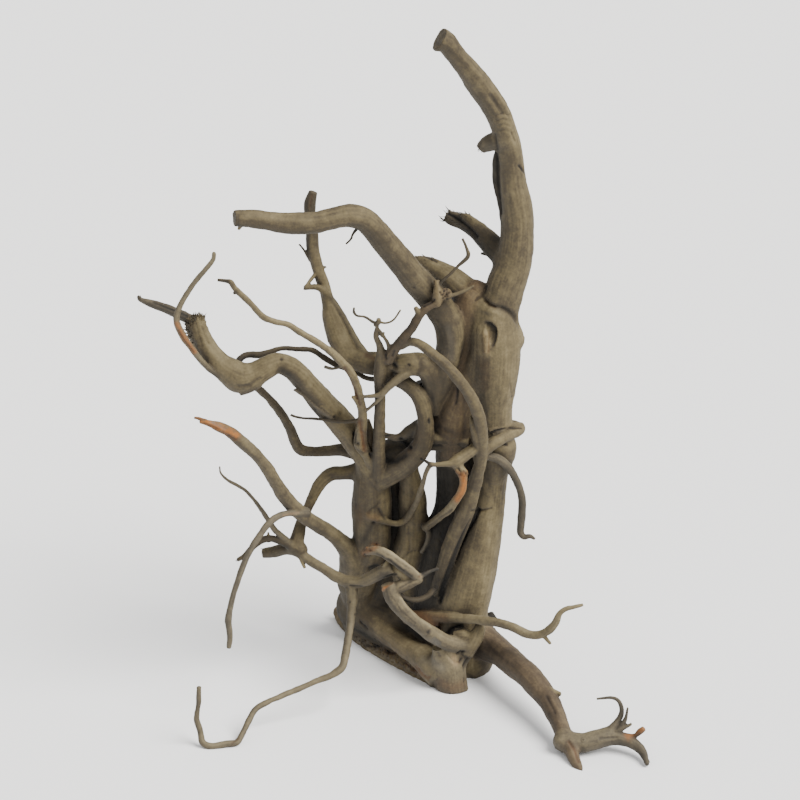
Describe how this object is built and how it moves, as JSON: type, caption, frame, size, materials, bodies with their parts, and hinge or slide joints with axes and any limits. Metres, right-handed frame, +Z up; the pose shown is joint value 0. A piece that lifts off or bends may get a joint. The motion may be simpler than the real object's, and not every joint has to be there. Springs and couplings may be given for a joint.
{
  "type": "decorative driftwood root",
  "caption": "Upright dark moor wood root with a tapering trunk, sprawling side roots and branches, and a flat sawn base that it stands on.",
  "frame": {"origin": "middle of the flat sawn underside, in the plane that the root stands on", "axes": "+Z up, +X to the right of a viewer in front, +Y away from that viewer; the sprawling roots reach towards -X and the thick foot towards +X and -Y"},
  "size_m": [0.3036, 0.1878, 0.423],
  "materials": {
    "dark_wood": "matte"
  },
  "bodies": {
    "root": {"moor_root": "dark_wood"}
  },
  "joints": []
}
